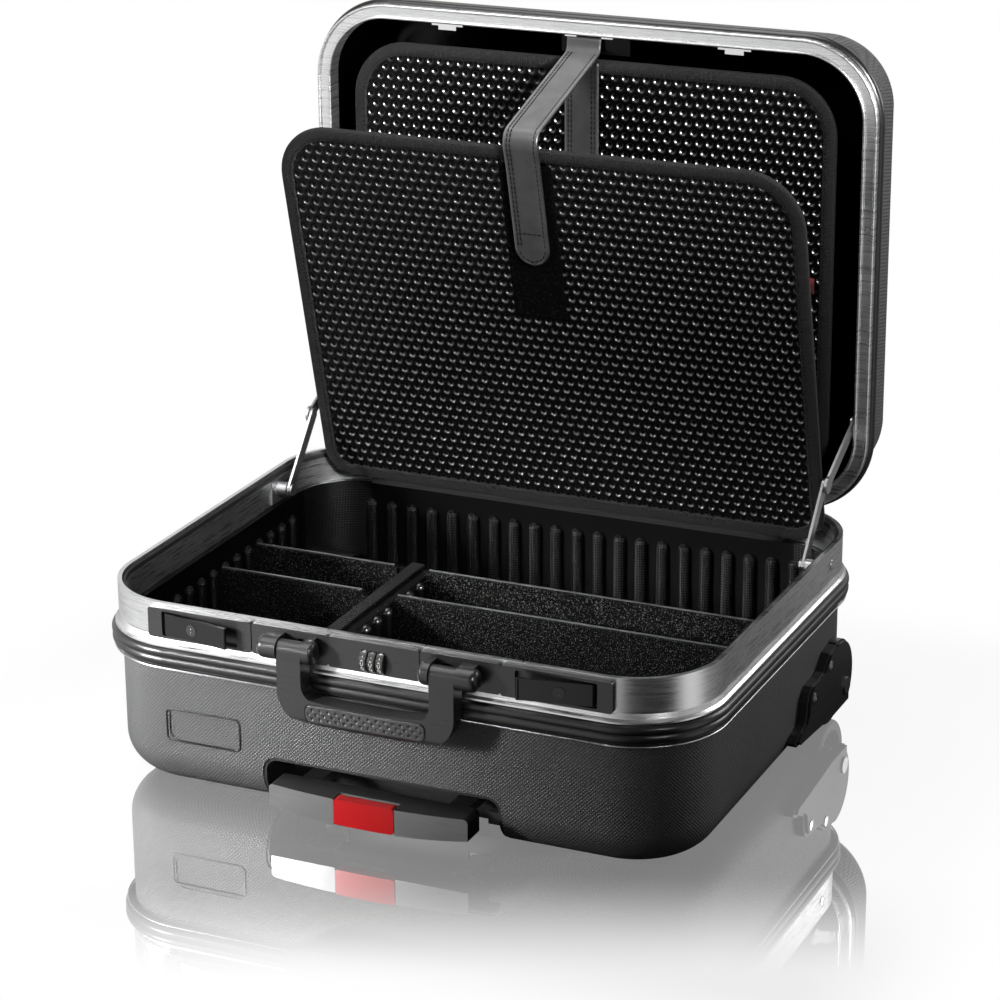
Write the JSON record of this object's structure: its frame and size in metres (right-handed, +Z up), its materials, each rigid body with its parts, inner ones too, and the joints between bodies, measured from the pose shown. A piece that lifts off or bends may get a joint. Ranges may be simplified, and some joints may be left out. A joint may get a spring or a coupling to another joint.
{
  "type": "wheeled hard tool case",
  "caption": "Hard tool case with a hinged lid on stays, two dimpled tool boards, a divided tray, latches, a carry handle, wheels and a pull-out trolley grip.",
  "frame": {"origin": "Middle of the flat underside of the moulded base.", "axes": "+X to the right seen from the front, +Y to the back, +Z up. The lid is open and the case stands level."},
  "size_m": [0.5162, 0.5237, 0.5522],
  "materials": {
    "shell": "fine embossed satin",
    "edging": "satin rolled edging",
    "aluminium": "brushed along the band",
    "seal": "matt",
    "tray": "fine grained",
    "felt": "loop fabric",
    "steel": "satin",
    "bright": "polished",
    "black_plastic": "satin",
    "red_plastic": "satin",
    "tyre": "matt",
    "grip_rubber": "matt with dimples",
    "dial": "satin, plain white digits",
    "lining": "glossy black",
    "board": "satin with round dimples",
    "strap": "smooth with stitching",
    "hooks": "hook tape",
    "red_fabric": "woven"
  },
  "bodies": {
    "base": {"base_shell": "shell", "base_edging": "edging", "base_frame": "aluminium", "base_seal": "seal", "base_tray": "tray", "centre_divider": "tray", "trolley_housing": "black_plastic", "trolley_rails": "steel", "wheel_axles": "steel", "wheel_guard_left": "black_plastic", "wheel_guard_right": "black_plastic", "front_feet": "seal", "side_rivets": "bright", "hinge_base_leaves": "steel", "hinge_pins": "steel", "latch_plate_left": "black_plastic", "latch_plate_right": "black_plastic", "handle_bracket_left": "black_plastic", "handle_bracket_right": "black_plastic", "handle_pins": "steel", "lock_plate": "black_plastic", "dial_shaft": "steel", "stay_brackets": "steel", "board_flap": "felt"},
    "lid": {"lid_shell": "shell", "lid_edging": "edging", "lid_frame": "aluminium", "lid_lining": "lining", "latch_strikers": "bright", "hinge_lid_leaves": "steel", "stay_lid_brackets": "steel", "board_strap": "strap"},
    "front_board": {"front_board": "board", "hook_patch": "hooks"},
    "rear_board": {"rear_board": "board", "rear_strap": "strap", "pull_tab": "red_fabric"},
    "stay_lower_left": {"stay_lower_left": "steel"},
    "stay_lower_right": {"stay_lower_right": "steel"},
    "stay_upper_left": {"stay_upper_left": "steel"},
    "stay_upper_right": {"stay_upper_right": "steel"},
    "carry_handle": {"carry_handle": "black_plastic", "handle_pad": "grip_rubber"},
    "lever_left": {"latch_lever_left": "black_plastic"},
    "lever_right": {"latch_lever_right": "black_plastic"},
    "key_left": {"key_cylinder_left": "black_plastic"},
    "key_right": {"key_cylinder_right": "black_plastic"},
    "dial_1": {"dial_1": "dial"},
    "dial_2": {"dial_2": "dial"},
    "dial_3": {"dial_3": "dial"},
    "trolley_mid": {"trolley_mid_tubes": "steel"},
    "trolley_grip": {"trolley_inner_tubes": "steel", "trolley_grip": "black_plastic"},
    "trolley_button": {"trolley_button": "red_plastic"},
    "wheel_left": {"wheel_left": "tyre"},
    "wheel_right": {"wheel_right": "tyre"},
    "divider_back_left": {"divider_back_left": "felt"},
    "divider_back_right": {"divider_back_right": "felt"},
    "divider_front_left": {"divider_front_left": "felt"},
    "divider_front_right": {"divider_front_right": "felt"}
  },
  "joints": [
    {"name": "lid_hinge", "type": "hinge", "parent": "base", "child": "lid", "pos_m": [0, 0.198, 0.1481], "axis": [1, 0, 0], "range_deg": [0, 90], "deforming": ["board_strap"]},
    {"name": "front_board_hinge", "type": "hinge", "parent": "base", "child": "front_board", "pos_m": [0, 0.171, 0.138], "axis": [1, 0, 0], "range_deg": [0, 75.9]},
    {"name": "rear_board_hinge", "type": "hinge", "parent": "lid", "child": "rear_board", "pos_m": [0, 0.2108, 0.183], "axis": [1, 0, 0], "range_deg": [0, 2]},
    {"name": "stay_lower_left_pivot", "type": "hinge", "parent": "base", "child": "stay_lower_left", "pos_m": [-0.2302, 0.105, 0.1415], "axis": [1, 0, 0], "range_deg": [0, 96.4]},
    {"name": "stay_lower_right_pivot", "type": "hinge", "parent": "base", "child": "stay_lower_right", "pos_m": [0.2302, 0.105, 0.1415], "axis": [1, 0, 0], "range_deg": [0, 96.4]},
    {"name": "stay_upper_left_pivot", "type": "hinge", "parent": "lid", "child": "stay_upper_left", "pos_m": [-0.2326, 0.21685, 0.22733], "axis": [1, 0, 0], "range_deg": [-127.1, 0]},
    {"name": "stay_upper_right_pivot", "type": "hinge", "parent": "lid", "child": "stay_upper_right", "pos_m": [0.2326, 0.21685, 0.22733], "axis": [1, 0, 0], "range_deg": [-127.1, 0]},
    {"name": "carry_handle_hinge", "type": "hinge", "parent": "base", "child": "carry_handle", "pos_m": [0, -0.2131, 0.142], "axis": [-1, 0, 0], "range_deg": [0, 95]},
    {"name": "lever_left_hinge", "type": "hinge", "parent": "base", "child": "lever_left", "pos_m": [-0.176, -0.2025, 0.1416], "axis": [0, 0, -1], "range_deg": [-10, 50]},
    {"name": "lever_right_hinge", "type": "hinge", "parent": "base", "child": "lever_right", "pos_m": [0.176, -0.2025, 0.1416], "axis": [0, 0, 1], "range_deg": [-10, 50]},
    {"name": "key_left_turn", "type": "hinge", "parent": "lever_left", "child": "key_left", "pos_m": [-0.15138, -0.20684, 0.1416], "axis": [-0.1736, -0.9848, 0], "range_deg": [0, 90]},
    {"name": "key_right_turn", "type": "hinge", "parent": "lever_right", "child": "key_right", "pos_m": [0.15138, -0.20684, 0.1416], "axis": [0.1736, -0.9848, 0], "range_deg": [0, 90]},
    {"name": "dial_1_turn", "type": "hinge", "parent": "base", "child": "dial_1", "pos_m": [-0.0072, -0.2005, 0.1388], "axis": [1, 0, 0], "continuous": true},
    {"name": "dial_2_turn", "type": "hinge", "parent": "base", "child": "dial_2", "pos_m": [-0.0002, -0.2005, 0.1388], "axis": [1, 0, 0], "continuous": true},
    {"name": "dial_3_turn", "type": "hinge", "parent": "base", "child": "dial_3", "pos_m": [0.0068, -0.2005, 0.1388], "axis": [1, 0, 0], "continuous": true},
    {"name": "trolley_mid_slide", "type": "slide", "parent": "base", "child": "trolley_mid", "axis": [0, -1, 0], "range_m": [0, 0.25]},
    {"name": "trolley_grip_slide", "type": "slide", "parent": "trolley_mid", "child": "trolley_grip", "axis": [0, -1, 0], "range_m": [0, 0.235]},
    {"name": "trolley_button_press", "type": "slide", "parent": "trolley_grip", "child": "trolley_button", "axis": [0, 1, 0], "range_m": [0, 0.004], "stiffness_N_per_m": 600},
    {"name": "wheel_left_spin", "type": "hinge", "parent": "base", "child": "wheel_left", "pos_m": [-0.233, 0.142, 0.0285], "axis": [1, 0, 0], "continuous": true},
    {"name": "wheel_right_spin", "type": "hinge", "parent": "base", "child": "wheel_right", "pos_m": [0.233, 0.142, 0.0285], "axis": [1, 0, 0], "continuous": true},
    {"name": "divider_back_left_lift", "type": "slide", "parent": "base", "child": "divider_back_left", "axis": [0, 0, 1], "range_m": [0, 0.018]},
    {"name": "divider_back_right_lift", "type": "slide", "parent": "base", "child": "divider_back_right", "axis": [0, 0, 1], "range_m": [0, 0.018]},
    {"name": "divider_front_left_lift", "type": "slide", "parent": "base", "child": "divider_front_left", "axis": [0, 0, 1], "range_m": [0, 0.018]},
    {"name": "divider_front_right_lift", "type": "slide", "parent": "base", "child": "divider_front_right", "axis": [0, 0, 1], "range_m": [0, 0.018]}
  ],
  "couplings": [
    {"joint": "front_board_hinge", "follows": "lid_hinge", "ratio": 0.84333},
    {"joint": "stay_lower_left_pivot", "follows": "lid_hinge", "ratio": 1.0709},
    {"joint": "stay_lower_right_pivot", "follows": "lid_hinge", "ratio": 1.0709},
    {"joint": "stay_upper_left_pivot", "follows": "lid_hinge", "ratio": -1.4118},
    {"joint": "stay_upper_right_pivot", "follows": "lid_hinge", "ratio": -1.4118}
  ]
}
